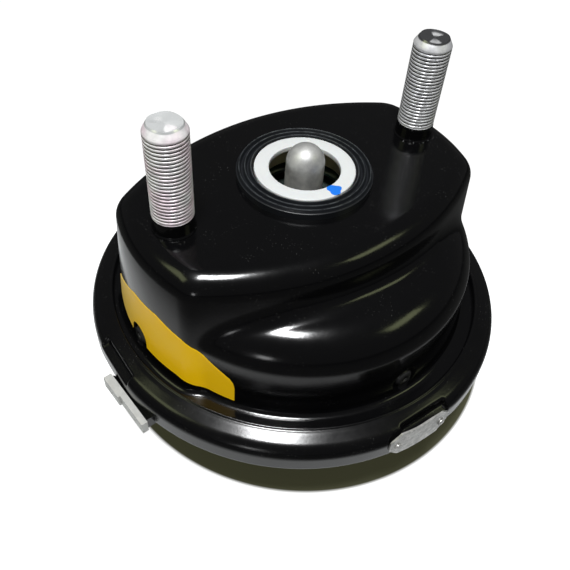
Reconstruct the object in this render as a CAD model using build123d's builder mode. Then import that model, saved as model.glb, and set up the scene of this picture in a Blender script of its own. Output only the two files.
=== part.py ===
from build123d import *
import math
import os

# Air brake chamber for a disc brake, in millimetres.
# The origin is on the push rod's axis, in the plane of the mounting face.
# +Z points out of the mounting face, along the studs and the push rod.
# +X runs through the right-hand stud.

os.makedirs("parts", exist_ok=True)

# Sheet metal and clearances
sheet = 3.0
seat_gap = 0.3
running_gap = 0.05

# Mounting studs
stud_spacing = 120.65
stud_diameter = 16.0
stud_knurl_diameter = 16.6
stud_length = 45.5
stud_tip_chamfer = 1.7
stud_head_diameter = 23.0
stud_head_height = 4.5
stud_head_flat = 6.8

# Non-pressure housing: a raised bridge under the mounting face, on a round drum
housing_height = 60.0
bridge_side_radius = 125.0
stud_end_margin = 16.675
bridge_corner_radius = 15.0
bridge_draft = 3.8
drum_stand_out = 0.5
drum_draft = 1.5
shoulder_drop = 20.0
shoulder_round = 16.0
shoulder_land = 2.5
bridge_edge_round = 9.0
valley_round = 8.0
foot_round = 3.0
flange_width = 11.5
flange_edge_land = 0.4
opening_radius = 21.0

# Drains round the foot of the drum
drain_count = 4
drain_height = 7.5
drain_hole_radius = 3.2
drain_dimple_radius = 5.5
drain_dimple_depth = 1.4
drain_lip_radius = 4.4
drain_lip_thickness = 1.0
drain_collar_length = 1.5

# Diaphragm
bead_thickness = 4.0
bead_edge_gap = 1.0
diaphragm_thickness = 3.0
diaphragm_corner = 12.0

# Pressure housing: a dish that the chamber stands on
dish_stand_out = 1.5
dish_draft = 5.0
dish_corner_round = 14.0
foot_ring_width = 32.0
recess_depth = 9.0
recess_slope = 4.0

# Air ports
port_margin = 5.0
port_thread_diameter = 16.0
port_thread_pitch = 1.5
port_boss_radius = 13.0
port_spigot_radius = 10.0
port_set_back = 0.5
port_chamfer = 1.0
plug_set_back = 1.0
plug_length = 8.0
plug_hex_width = 8.0
plug_hex_depth = 4.0

# Clamp ring, rolled over both flanges
clamp_thickness = 2.5
clamp_edge_gap = 0.1
clamp_grip = 4.5
clamp_lower_grip = 3.5
clamp_top_inner_round = 6.0
clamp_bottom_inner_round = 0.5
notch_count = 4
notch_length = 24.0
notch_drop = 4.0
notch_wall_gap = 1.4
notch_flat_cut = 0.8

# Blank type plate, curved round the rim, and its rivets
plate_width = 30.0
plate_height = 14.5
plate_thickness = 0.9
plate_corner_cut = 4.5
plate_offset = -4.3
plate_drop = 0.5
rivet_spacing = 22.5
rivet_drop = 8.3
rivet_head_radius = 1.7
rivet_head_height = 0.8
rivet_shank_radius = 1.0

# Zinc plated bar on its lug, at the left of the rim
bar_length = 30.0
bar_thickness = 2.7
bar_height = 6.5
bar_pad_length = 12.5
bar_pad_extra = 1.0
bar_stand_off = 4.2
bar_end_offset = 0.8
bar_turn = 4.3
bar_drop = 12.5
lug_length = 27.5
lug_depth = 12.0
lug_inset = 1.3
lug_drop = 0.5
screw_radius = 1.2
screw_head_radius = 1.9
screw_drop = 4.4
screw_inset = 6.2
screw_grip = 5.0
screw_hex_width = 1.5
screw_hex_depth = 0.8

# Seal, guide ring and gaiter in the centre opening
seal_width = 7.2
seal_height = 4.3
seal_base_height = 2.6
seal_ridge_count = 3
guide_lip = 2.8
guide_flange_thickness = 2.5
guide_flange_lift = 1.4
guide_collar_gap = 0.4
guide_collar_wall = 3.0
guide_collar_depth = 7.6
gaiter_flange_width = 6.0
gaiter_flange_thickness = 2.0
gaiter_fold_depth = 8.4
gaiter_fold_count = 9
gaiter_fold_width = 3.4
gaiter_skin = 1.6
gaiter_neck_length = 5.0

# Return spring and its upper seat
seat_head_gap = 4.825
spring_seat_thickness = 2.0
spring_seat_lip = 3.0
spring_wire_diameter = 3.6
spring_top_play = 2.2
spring_rim_gap = 1.7
spring_turns = 5.5

# Piston plate, its socket and the push rod
piston_edge_gap = 14.3
piston_sheet = 2.5
piston_rim_height = 7.0
piston_rim_round = 3.5
bush_wall = 1.85
socket_wall = 2.6
socket_base_thickness = 2.5
socket_rim = 1.0
bush_floor = 1.5
retainer_lift = 5.0
retainer_thickness = 1.8
retainer_groove = 0.8
retainer_rod_gap = 0.8
rod_diameter = 16.0
rod_reach = 14.4
rod_ball_step = 2.2
rod_stroke = 57.0
stroke_end_gap = 3.4
rod_tilt = 4.0

# Levels and radii that follow from the sizes above
bridge_end_radius = stud_spacing / 2 + stud_end_margin
drum_radius = bridge_end_radius + drum_stand_out
bridge_half_width = drum_radius - shoulder_round - valley_round - shoulder_land
bore_radius = drum_radius - sheet
flange_radius = drum_radius + flange_width
flange_edge_round = sheet - flange_edge_land
clamp_top_round = clamp_thickness + clamp_top_inner_round
clamp_bottom_round = clamp_thickness + clamp_bottom_inner_round
clamp_radius = flange_radius + clamp_top_round - flange_edge_round + clamp_edge_gap
clamp_lip_radius = flange_radius - clamp_grip
clamp_lower_lip_radius = flange_radius - clamp_lower_grip
notch_wall_radius = flange_radius + notch_wall_gap
notch_flat_distance = clamp_radius - notch_flat_cut
dish_radius = drum_radius + dish_stand_out
foot_inner_radius = dish_radius - foot_ring_width
port_offset = foot_inner_radius - recess_slope - port_boss_radius - port_margin
thread_radius = (port_thread_diameter - 1.0825 * port_thread_pitch) / 2
flange_top = -housing_height
flange_under = flange_top - sheet
bead_under = flange_under - bead_thickness
dish_flange_under = bead_under - sheet
rod_radius = rod_diameter / 2
rod_ball_radius = rod_radius + rod_ball_step
socket_bore = rod_ball_radius + seat_gap + bush_wall + running_gap
socket_radius = socket_bore + socket_wall
collar_under = guide_flange_lift - guide_collar_depth
socket_top = collar_under - stroke_end_gap - rod_stroke
retainer_top = socket_top - socket_rim
retainer_under = retainer_top - retainer_thickness
ball_centre = retainer_under - retainer_lift
socket_floor = ball_centre - rod_ball_radius - seat_gap - bush_floor
piston_top = socket_floor - socket_base_thickness
piston_under = piston_top - piston_sheet
diaphragm_top = piston_under - seat_gap
diaphragm_under = diaphragm_top - diaphragm_thickness
recess_floor = diaphragm_under - seat_gap
recess_level = recess_floor - sheet
foot_level = recess_level - recess_depth
wall_slope = math.tan(math.radians(dish_draft))
cup_radius = dish_radius - sheet - seat_gap
cup_bore = cup_radius - diaphragm_thickness
cup_floor_radius = cup_radius - (bead_under - diaphragm_under) * wall_slope
cup_floor_bore = cup_floor_radius - diaphragm_thickness
piston_radius = cup_floor_bore - piston_edge_gap
clamp_top = flange_top + clamp_thickness
clamp_bottom = dish_flange_under - clamp_thickness
seat_under = -sheet - gaiter_flange_thickness - spring_seat_thickness
drain_level = flange_top + drain_height
notch_floor = clamp_top - notch_drop


def turned(points):
    """A ring or disc with the given profile of (radius, height) points."""
    with BuildPart() as ring:
        with BuildSketch(Plane.XZ):
            with BuildLine():
                Polyline(*points, close=True)
            make_face()
        revolve(axis=Axis.Z)
    return ring.part


def circles_at(builder, radius, height):
    """The round edges of a turned solid that have this radius at this height."""
    rounds = builder.edges().filter_by(GeomType.CIRCLE)
    return rounds.filter_by(lambda edge: abs(edge.radius - radius) < 0.01 and abs(edge.center().Z - height) < 0.01)


def drafted_disc(centre_y, radius, inset):
    """A round block under the mounting face, wider at its foot by the bridge's draft."""
    height = housing_height - inset
    foot = radius - inset + height * math.tan(math.radians(bridge_draft))
    with BuildPart() as disc:
        with Locations((0, centre_y, -inset)):
            Cone(foot, radius - inset, height, align=(Align.CENTER, Align.CENTER, Align.MAX))
    return disc.part


def bridge_body(inset):
    """The bridge as a solid block, drawn in by inset: two flat round sides, cut to the round ends."""
    side_centre = bridge_side_radius - bridge_half_width
    front_side = drafted_disc(side_centre, bridge_side_radius, inset)
    back_side = drafted_disc(-side_centre, bridge_side_radius, inset)
    round_ends = drafted_disc(0, bridge_end_radius, inset)
    with BuildPart() as body:
        add(front_side)
        add(back_side, mode=Mode.INTERSECT)
        add(round_ends, mode=Mode.INTERSECT)
        corners = [edge for edge in body.edges() if edge.bounding_box().size.Z > housing_height / 2]
        fillet(corners, bridge_corner_radius - inset)
    return body.part


def housing_body(inset):
    """Bridge and drum as one solid block, drawn in by inset on every side but the bottom."""
    shoulder = -shoulder_drop - inset
    drum_top = drum_radius - inset - (housing_height - shoulder_drop) * math.tan(math.radians(drum_draft))
    bridge = bridge_body(inset)
    drum = turned([(0, shoulder), (drum_top, shoulder), (drum_radius - inset, flange_top), (0, flange_top)])
    with BuildPart() as body:
        add(drum)
        fillet(circles_at(body, drum_top, shoulder), shoulder_round - inset)
        add(bridge)
        fillet(body.faces().sort_by(Axis.Z)[-1].edges(), bridge_edge_round - inset)
        fillet([edge for edge in body.edges() if is_valley(edge, shoulder)], valley_round + inset / 2)
    return body.part


def is_valley(edge, shoulder):
    """True for the concave edges between the bridge and the drum."""
    middle = edge.center()
    on_shoulder = edge.geom_type == GeomType.CIRCLE and abs(middle.Z - shoulder) < 0.1
    beside_bridge = abs(middle.Y) < bridge_half_width + 3.0
    below_face = middle.Z < -bridge_edge_round - 1.0
    above_foot = middle.Z > flange_top + 0.6
    crossing = edge.geom_type == GeomType.BSPLINE and below_face and above_foot
    return crossing or (on_shoulder and beside_bridge)


def is_foot_edge(edge):
    """True for the corner where the housing's wall meets its flange."""
    middle = edge @ 0.5
    return abs(middle.Z - flange_top) < 0.05 and math.hypot(middle.X, middle.Y) < flange_radius - 4.0


def drain_planes():
    """One plane at each drain, on the housing's wall, with its normal pointing outwards."""
    planes = []
    for step in range(drain_count):
        turn = 360 * step / drain_count
        along_studs = abs(math.cos(math.radians(turn))) > 0.7
        foot_radius = bridge_end_radius + housing_height * math.tan(math.radians(bridge_draft))
        lean = bridge_draft if along_studs else drum_draft
        radius = foot_radius if along_studs else drum_radius
        radius -= drain_height * math.tan(math.radians(lean))
        outward = Vector(1, 0, 0).rotate(Axis.Z, turn)
        planes.append(Plane(origin=outward * radius + Vector(0, 0, drain_level), x_dir=(0, 0, 1), z_dir=outward))
    return planes


# Non-pressure housing: one deep drawn shell with the mounting face, the opening and the flange
housing_outside = housing_body(0)
housing_inside = housing_body(sheet)
with BuildPart() as non_pressure_housing:
    with BuildSketch(Plane.XY.offset(flange_top)):
        Circle(flange_radius)
    extrude(amount=-sheet)
    fillet(non_pressure_housing.edges().group_by(Axis.Z)[-1], flange_edge_round)
    add(housing_outside)
    fillet([edge for edge in non_pressure_housing.edges() if is_foot_edge(edge)], foot_round)
    add(housing_inside, mode=Mode.SUBTRACT)
    with BuildSketch(Plane.XY.offset(flange_top)):
        Circle(bore_radius)
    extrude(amount=-sheet, mode=Mode.SUBTRACT)
    with BuildSketch():
        Circle(opening_radius)
        with Locations((stud_spacing / 2, 0), (-stud_spacing / 2, 0)):
            Circle(stud_knurl_diameter / 2)
    extrude(amount=-2 * sheet, mode=Mode.SUBTRACT)
    for drain in drain_planes():
        with BuildSketch(drain):
            Circle(drain_hole_radius)
        extrude(amount=-3 * sheet, mode=Mode.SUBTRACT)
        with BuildSketch(drain.offset(-drain_dimple_depth)):
            Circle(drain_dimple_radius)
        extrude(amount=3 * sheet, mode=Mode.SUBTRACT)
non_pressure_housing.part.label = "non_pressure_housing"
export_step(non_pressure_housing.part, "parts/non_pressure_housing.step")

# Drain inserts: four small plastic plugs, each with a lip outside and a snap collar inside
with BuildPart() as drain_inserts:
    for drain in drain_planes():
        with BuildSketch(drain.offset(-drain_dimple_depth)):
            Circle(drain_lip_radius)
        extrude(amount=drain_lip_thickness)
        with BuildSketch(drain.offset(-drain_dimple_depth)):
            Circle(drain_hole_radius)
        extrude(amount=-(sheet - drain_dimple_depth + drain_collar_length))
drain_inserts.part.label = "drain_inserts"
export_step(drain_inserts.part, "parts/drain_inserts.step")

# Mounting studs: each pressed through the sheet by a knurled collar, with a flatted head under it
stud_heads = {"right": 1, "left": -1}
for side_name, side in stud_heads.items():
    with BuildPart() as stud:
        with BuildSketch(Plane.XY.offset(-sheet - stud_head_height)):
            with Locations((side * stud_spacing / 2, 0)):
                Circle(stud_head_diameter / 2)
            with Locations((side * (stud_spacing / 2 + stud_head_flat), 0)):
                Rectangle(2 * stud_head_diameter, 2 * stud_head_diameter,
                          align=(Align.MAX if side > 0 else Align.MIN, Align.CENTER), mode=Mode.INTERSECT)
        extrude(amount=stud_head_height)
        with BuildSketch(Plane.XY.offset(-sheet)):
            with Locations((side * stud_spacing / 2, 0)):
                Circle(stud_knurl_diameter / 2)
        extrude(amount=sheet)
        with BuildSketch():
            with Locations((side * stud_spacing / 2, 0)):
                Circle(stud_diameter / 2)
        extrude(amount=stud_length)
        chamfer(stud.edges().group_by(Axis.Z)[-1], stud_tip_chamfer)
    stud.part.label = "mounting_stud_" + side_name
    export_step(stud.part, "parts/" + stud.part.label + ".step")

# Mounting seal: a rubber ring with round ridges, which the caliper's face presses flat
seal_outer_radius = opening_radius + seal_width
ridge_pitch = seal_width / seal_ridge_count
seal_points = [(opening_radius, 0), (opening_radius, seal_base_height)]
for ridge in range(seal_ridge_count):
    ridge_start = opening_radius + ridge * ridge_pitch
    seal_points.append((ridge_start + 0.35 * ridge_pitch, seal_height))
    seal_points.append((ridge_start + 0.65 * ridge_pitch, seal_height))
    seal_points.append((ridge_start + ridge_pitch, seal_base_height))
seal_points.append((seal_outer_radius, 0))
mounting_seal = turned(seal_points)
mounting_seal.label = "mounting_seal"
export_step(mounting_seal, "parts/mounting_seal.step")

# Guide ring: white plastic, its flange on the seal's bore and its collar through the opening
guide_outer = opening_radius - running_gap
collar_outer = opening_radius - guide_collar_gap
guide_collar_bore_radius = collar_outer - guide_collar_wall
guide_bore_radius = guide_collar_bore_radius - guide_lip
guide_top = guide_flange_lift + guide_flange_thickness
guide_ring = turned([(guide_bore_radius, guide_flange_lift), (guide_bore_radius, guide_top - 0.4),
                     (guide_bore_radius + 0.4, guide_top), (guide_outer - 0.4, guide_top),
                     (guide_outer, guide_top - 0.4), (guide_outer, guide_flange_lift),
                     (collar_outer, guide_flange_lift), (collar_outer, collar_under),
                     (guide_collar_bore_radius, collar_under),
                     (guide_collar_bore_radius, guide_flange_lift)])
guide_ring.label = "guide_ring"
export_step(guide_ring, "parts/guide_ring.step")

# Gaiter: a pleated rubber sleeve from the opening down to the piston's socket
gaiter_flange_radius = opening_radius + gaiter_flange_width
gaiter_inner_radius = gaiter_flange_radius - gaiter_fold_depth
neck_radius = socket_radius + seat_gap
neck_under = piston_top + seat_gap
neck_top = neck_under + gaiter_neck_length
flange_below = -sheet - gaiter_flange_thickness
fold_top = seat_under - 1.0
fold_step = (fold_top - neck_top) / (2 * gaiter_fold_count)
outer_line = [(gaiter_flange_radius, -sheet), (gaiter_flange_radius, flange_below),
              (opening_radius + gaiter_skin, flange_below), (opening_radius + gaiter_skin, fold_top)]
inner_line = [(opening_radius, -sheet), (opening_radius, fold_top)]
for fold in range(1, 2 * gaiter_fold_count):
    fold_radius = gaiter_inner_radius if fold % 2 else gaiter_flange_radius - gaiter_fold_width
    inner_line.append((fold_radius, fold_top - fold * fold_step))
    outer_line.append((fold_radius + gaiter_fold_width, fold_top - fold * fold_step))
outer_line += [(neck_radius + gaiter_skin, neck_top), (neck_radius + gaiter_skin, neck_under)]
inner_line += [(neck_radius, neck_top), (neck_radius, neck_under)]
gaiter = turned(outer_line + inner_line[::-1])
gaiter.label = "gaiter"
export_step(gaiter, "parts/gaiter.step")

# Spring seat: a pressed ring that clamps the gaiter's flange and centres the spring's top coil
seat_bore = opening_radius + gaiter_skin + seat_gap
spring_seat_radius = (stud_spacing - stud_head_diameter) / 2 - seat_head_gap
seat_top = seat_under + spring_seat_thickness
spring_seat = turned([(seat_bore, seat_top), (spring_seat_radius, seat_top),
                      (spring_seat_radius, seat_under - spring_seat_lip),
                      (spring_seat_radius - spring_seat_thickness, seat_under - spring_seat_lip),
                      (spring_seat_radius - spring_seat_thickness, seat_under), (seat_bore, seat_under)])
spring_seat.label = "spring_seat"
export_step(spring_seat, "parts/spring_seat.step")

# Return spring: a conical coil of round wire, wide end down on the piston plate
wire_radius = spring_wire_diameter / 2
spring_top_radius = spring_seat_radius - spring_seat_thickness - wire_radius - spring_top_play
spring_bottom_radius = piston_radius - piston_sheet - wire_radius - spring_rim_gap
spring_bottom = piston_top + wire_radius + seat_gap
spring_rise = seat_under - wire_radius - seat_gap - spring_bottom
spring_cone = math.degrees(math.atan((spring_bottom_radius - spring_top_radius) / spring_rise))
with BuildPart() as return_spring:
    with BuildLine() as coil:
        Helix(spring_rise / spring_turns, spring_rise, spring_bottom_radius, center=(0, 0, spring_bottom),
              cone_angle=-spring_cone)
    with BuildSketch(Plane(origin=coil.line @ 0, z_dir=coil.line % 0)):
        Circle(wire_radius)
    sweep(is_frenet=True)
return_spring.part.label = "return_spring"
export_step(return_spring.part, "parts/return_spring.step")

# Piston plate: a flat pressed disc with an upturned rim
piston_rim_top = piston_under + piston_rim_height
piston_bore = piston_radius - piston_sheet
piston_disc = turned([(0, piston_under), (piston_radius, piston_under), (piston_radius, piston_rim_top),
                      (piston_bore, piston_rim_top), (piston_bore, piston_top), (0, piston_top)])
with BuildPart() as piston_plate:
    add(piston_disc)
    fillet(piston_plate.edges().group_by(Axis.Z)[0], piston_rim_round)
    fillet(circles_at(piston_plate, piston_bore, piston_top), piston_rim_round - piston_sheet)
piston_plate.part.label = "piston_plate"
export_step(piston_plate.part, "parts/piston_plate.step")

# Rod socket: a cup welded on the piston plate, grooved near its mouth for the retaining ring
groove_radius = socket_bore + retainer_groove
rod_socket = turned([(0, piston_top), (socket_radius, piston_top), (socket_radius, socket_top),
                     (socket_bore, socket_top), (socket_bore, retainer_top), (groove_radius, retainer_top),
                     (groove_radius, retainer_under), (socket_bore, retainer_under),
                     (socket_bore, socket_floor), (0, socket_floor)])
rod_socket.label = "rod_socket"
export_step(rod_socket, "parts/rod_socket.step")

# Socket bush: plastic, with the ball's round seat, held down by the retaining ring
seat_radius = rod_ball_radius + seat_gap
with BuildPart() as socket_bush:
    with BuildSketch(Plane.XZ):
        with BuildLine():
            bush_radius = socket_bore - running_gap
            seat_low = (0, ball_centre - seat_radius)
            seat_side = (seat_radius, ball_centre)
            seat_bend = seat_radius * math.sqrt(0.5)
            ThreePointArc(seat_low, (seat_bend, ball_centre - seat_bend), seat_side)
            Polyline(seat_side, (seat_radius, retainer_under), (bush_radius, retainer_under),
                     (bush_radius, socket_floor), (0, socket_floor), seat_low)
        make_face()
    revolve(axis=Axis.Z)
socket_bush.part.label = "socket_bush"
export_step(socket_bush.part, "parts/socket_bush.step")

# Retaining ring: sprung into the socket's groove, over the ball, and open enough for the rod to lean
lean = math.radians(rod_tilt)
leaning_rod = rod_radius / math.cos(lean) + (retainer_top - ball_centre) * math.tan(lean)
retainer_bore_radius = leaning_rod + retainer_rod_gap
rod_retainer = turned([(retainer_bore_radius, retainer_under), (groove_radius - running_gap, retainer_under),
                       (groove_radius - running_gap, retainer_top), (retainer_bore_radius, retainer_top)])
rod_retainer.label = "rod_retainer"
export_step(rod_retainer, "parts/rod_retainer.step")

# Push rod: a turned steel rod with a ball foot and a round nose
with BuildPart() as push_rod:
    with BuildSketch(Plane.XZ):
        with BuildLine():
            neck_height = ball_centre + math.sqrt(rod_ball_radius ** 2 - rod_radius ** 2)
            nose_bend = rod_radius * math.sqrt(0.5)
            nose_centre = rod_reach - rod_radius
            ball_low = (0, ball_centre - rod_ball_radius)
            ThreePointArc(ball_low, (rod_ball_radius, ball_centre), (rod_radius, neck_height))
            Line((rod_radius, neck_height), (rod_radius, nose_centre))
            ThreePointArc((rod_radius, nose_centre), (nose_bend, nose_centre + nose_bend), (0, rod_reach))
            Line((0, rod_reach), ball_low)
        make_face()
    revolve(axis=Axis.Z)
push_rod.part.label = "push_rod"
export_step(push_rod.part, "parts/push_rod.step")

# Diaphragm: a rubber cup whose thick bead is clamped between the two flanges
bead_radius = flange_radius - bead_edge_gap
diaphragm_blank = turned([(0, diaphragm_under), (cup_floor_radius, diaphragm_under), (cup_radius, bead_under),
                          (bead_radius, bead_under), (bead_radius, flange_under), (cup_bore, flange_under),
                          (cup_floor_bore, diaphragm_top), (0, diaphragm_top)])
with BuildPart() as diaphragm:
    add(diaphragm_blank)
    fillet(circles_at(diaphragm, cup_floor_radius, diaphragm_under), diaphragm_corner)
    fillet(circles_at(diaphragm, cup_floor_bore, diaphragm_top), diaphragm_corner - diaphragm_thickness)
diaphragm.part.label = "diaphragm"
export_step(diaphragm.part, "parts/diaphragm.step")


def dish_body(inset):
    """The dish as a solid block, drawn in by inset: draughted wall, round foot ring, raised middle."""
    foot = foot_level + inset
    middle = recess_level + inset
    foot_radius = dish_radius - inset - (bead_under - foot) * wall_slope
    blank = turned([(0, middle), (foot_inner_radius - recess_slope + inset, middle),
                    (foot_inner_radius + inset, foot), (foot_radius, foot), (dish_radius - inset, bead_under),
                    (0, bead_under)])
    with BuildPart() as body:
        add(blank)
        fillet(circles_at(body, foot_radius, foot), dish_corner_round - inset)
    return body.part


# Pressure housing: the pressed dish with its flange, drilled for the two port bosses
dish_outside = dish_body(0)
dish_inside = dish_body(sheet)
with BuildPart() as pressure_housing:
    add(dish_outside)
    with BuildSketch(Plane.XY.offset(bead_under)):
        Circle(flange_radius)
    extrude(amount=-sheet)
    add(dish_inside, mode=Mode.SUBTRACT)
    with BuildSketch(Plane.XY.offset(recess_floor)):
        with Locations((port_offset, 0), (-port_offset, 0)):
            Circle(port_spigot_radius)
    extrude(amount=-2 * sheet, mode=Mode.SUBTRACT)
pressure_housing.part.label = "pressure_housing"
export_step(pressure_housing.part, "parts/pressure_housing.step")

# Port bosses: turned steel, welded into the dish's raised middle, with their mouths inside the foot ring
port_mouth = foot_level + port_set_back
with BuildPart() as port_bosses:
    with BuildSketch(Plane.XY.offset(recess_floor)):
        with Locations((port_offset, 0), (-port_offset, 0)):
            Circle(port_spigot_radius)
    extrude(amount=-sheet)
    with BuildSketch(Plane.XY.offset(recess_level)):
        with Locations((port_offset, 0), (-port_offset, 0)):
            Circle(port_boss_radius)
    extrude(amount=port_mouth - recess_level)
    chamfer(port_bosses.edges().group_by(Axis.Z)[0], port_chamfer)
    with Locations(Location((port_offset, 0, recess_floor)), Location((-port_offset, 0, recess_floor))):
        Cylinder(thread_radius, recess_floor - port_mouth, align=(Align.CENTER, Align.CENTER, Align.MAX),
                 mode=Mode.SUBTRACT)
port_bosses.part.label = "port_bosses"
export_step(port_bosses.part, "parts/port_bosses.step")

# Port plug: a headless plug with a hexagon socket, screwed into the port that isn't used
with BuildPart() as port_plug:
    with BuildSketch(Plane.XY.offset(port_mouth + plug_set_back)):
        with Locations((-port_offset, 0)):
            Circle(thread_radius)
    extrude(amount=plug_length)
    with BuildSketch(Plane.XY.offset(port_mouth + plug_set_back)):
        with Locations((-port_offset, 0)):
            RegularPolygon(plug_hex_width / 2, 6, major_radius=False)
    extrude(amount=plug_hex_depth, mode=Mode.SUBTRACT)
port_plug.part.label = "port_plug"
export_step(port_plug.part, "parts/port_plug.step")


def rim_disc(radius, low, high, low_round, high_round):
    """A disc with its two rim edges rounded."""
    with BuildPart() as disc:
        with BuildSketch(Plane.XY.offset(low)):
            Circle(radius)
        extrude(amount=high - low)
        fillet(disc.edges().group_by(Axis.Z)[0], low_round)
        fillet(disc.edges().group_by(Axis.Z)[-1], high_round)
    return disc.part


def rivet_planes():
    """One plane at each rivet, on the rim, with its normal pointing outwards."""
    planes = []
    for side in (-1, 1):
        turn = math.degrees(math.asin((plate_offset + side * rivet_spacing / 2) / clamp_radius)) - 90
        outward = Vector(1, 0, 0).rotate(Axis.Z, turn)
        rivet_level = clamp_top - plate_drop - rivet_drop
        planes.append(Plane(origin=outward * clamp_radius + Vector(0, 0, rivet_level), x_dir=(0, 0, 1),
                            z_dir=outward))
    return planes


# The rivets' shanks, which also drill the rim and the plate
with BuildPart() as shanks:
    for rivet in rivet_planes():
        with BuildSketch(rivet.offset(-clamp_thickness)):
            Circle(rivet_shank_radius)
        extrude(amount=clamp_thickness + running_gap + plate_thickness)
rivet_shanks = shanks.part

# Clamp ring: rolled steel channel with a wide shoulder, pressed in at four notches
clamp_outside = rim_disc(clamp_radius, clamp_bottom, clamp_top, clamp_bottom_round, clamp_top_round)
clamp_channel = rim_disc(clamp_radius - clamp_thickness, clamp_bottom + clamp_thickness,
                         clamp_top - clamp_thickness, clamp_bottom_round - clamp_thickness,
                         clamp_top_round - clamp_thickness)
with BuildPart() as clamp_ring:
    add(clamp_outside)
    add(clamp_channel, mode=Mode.SUBTRACT)
    with BuildSketch(Plane.XY.offset(clamp_bottom)):
        Circle(clamp_lower_lip_radius)
    extrude(amount=clamp_thickness, mode=Mode.SUBTRACT)
    with BuildSketch(Plane.XY.offset(clamp_top)):
        Circle(clamp_lip_radius)
    extrude(amount=-clamp_thickness, mode=Mode.SUBTRACT)
    pad_inner = flange_radius + seat_gap
    pad_width = notch_length + 2 * clamp_thickness
    with BuildSketch(Plane.XY.offset(notch_floor - clamp_thickness)):
        with PolarLocations(pad_inner, notch_count):
            Rectangle(notch_flat_distance - pad_inner, pad_width, align=(Align.MIN, Align.CENTER))
        Circle(clamp_radius, mode=Mode.INTERSECT)
    extrude(amount=clamp_thickness)
    with BuildSketch(Plane.XY.offset(notch_floor)):
        with PolarLocations(notch_wall_radius, notch_count):
            Rectangle(clamp_radius, notch_length, align=(Align.MIN, Align.CENTER))
    extrude(amount=notch_drop + 1.0, mode=Mode.SUBTRACT)
    with BuildSketch(Plane.XY.offset(clamp_bottom)):
        with PolarLocations(notch_flat_distance, notch_count):
            Rectangle(clamp_radius, pad_width, align=(Align.MIN, Align.CENTER))
    extrude(amount=clamp_top - clamp_bottom, mode=Mode.SUBTRACT)
    add(rivet_shanks, mode=Mode.SUBTRACT)
clamp_ring.part.label = "clamp_ring"
export_step(clamp_ring.part, "parts/clamp_ring.step")

# Type plate: thin bright sheet with cut corners, bent round the rim over the front notch, blank
plate_top = clamp_top - plate_drop
plate_inner = clamp_radius + running_gap
with BuildPart() as type_plate:
    with BuildSketch(Plane.XZ) as plate_face:
        with Locations((plate_offset, plate_top - plate_height / 2)):
            Rectangle(plate_width, plate_height)
        chamfer(plate_face.vertices(), plate_corner_cut)
    extrude(amount=clamp_radius + clamp_thickness)
    with BuildSketch(Plane.XY.offset(plate_top)):
        Circle(plate_inner + plate_thickness)
        Circle(plate_inner, mode=Mode.SUBTRACT)
    extrude(amount=-plate_height, mode=Mode.INTERSECT)
    add(rivet_shanks, mode=Mode.SUBTRACT)
type_plate.part.label = "type_plate"
export_step(type_plate.part, "parts/type_plate.step")

# Plate rivets: two small round heads
with BuildPart() as plate_rivets:
    add(rivet_shanks)
    for rivet in rivet_planes():
        with BuildSketch(rivet.offset(running_gap + plate_thickness)):
            Circle(rivet_head_radius)
        extrude(amount=rivet_head_height)
    head_faces = plate_rivets.edges().filter_by(GeomType.CIRCLE).filter_by(
        lambda edge: abs(edge.radius - rivet_head_radius) < 0.01)
    outer_rims = [edge for edge in head_faces
                  if math.hypot(edge.center().X, edge.center().Y) > plate_inner + plate_thickness + 0.1]
    fillet(outer_rims, 0.6 * rivet_head_height)
plate_rivets.part.label = "plate_rivets"
export_step(plate_rivets.part, "parts/plate_rivets.step")

# Bracket at the left of the rim: its own plane runs along the bar, with the ring on its +Y side
bar_top = clamp_top - bar_drop
bar_along = Vector(0, -1, 0).rotate(Axis.Z, bar_turn)
bar_plane = Plane(origin=(-clamp_radius - bar_stand_off, bar_end_offset, bar_top), x_dir=bar_along, z_dir=(0, 0, 1))
bar_inner = bar_thickness + bar_pad_extra


def screw_plane(along, outer_face):
    """The plane of a screw's head on the bar's outer face, with its normal pointing into the lug."""
    origin = bar_plane.from_local_coords(Vector(along, outer_face, -screw_drop))
    return Plane(origin=origin, x_dir=bar_along, z_dir=bar_plane.y_dir)


screw_planes = [screw_plane(screw_inset, 0), screw_plane(bar_length - screw_inset, bar_pad_extra)]
with BuildPart() as screws:
    for head in screw_planes:
        with Locations(head):
            Cone(screw_head_radius, screw_radius, screw_head_radius - screw_radius,
                 align=(Align.CENTER, Align.CENTER, Align.MIN))
            Cylinder(screw_radius, bar_inner + screw_grip, align=(Align.CENTER, Align.CENTER, Align.MIN))
screw_blanks = screws.part

# Bracket bar: zinc plated flat bar, thicker on the outside over its first part
with BuildPart() as bracket_bar:
    with BuildSketch(bar_plane):
        with BuildLine():
            Polyline((0, 0), (bar_pad_length, 0), (bar_pad_length, bar_pad_extra), (bar_length, bar_pad_extra),
                     (bar_length, bar_inner), (0, bar_inner), close=True)
        make_face()
    extrude(amount=-bar_height)
    add(screw_blanks, mode=Mode.SUBTRACT)
bracket_bar.part.label = "bracket_bar"
export_step(bracket_bar.part, "parts/bracket_bar.step")

# Bracket lug: a black block under the rim that carries the bar clear of the ring
with BuildPart() as bracket_lug:
    with BuildSketch(bar_plane.offset(-lug_drop)):
        with Locations((lug_inset, bar_inner)):
            Rectangle(lug_length, lug_depth, align=(Align.MIN, Align.MIN))
    extrude(amount=-(bar_height - lug_drop))
    add(clamp_outside, mode=Mode.SUBTRACT)
    add(screw_blanks, mode=Mode.SUBTRACT)
bracket_lug.part.label = "bracket_lug"
export_step(bracket_lug.part, "parts/bracket_lug.step")

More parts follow.
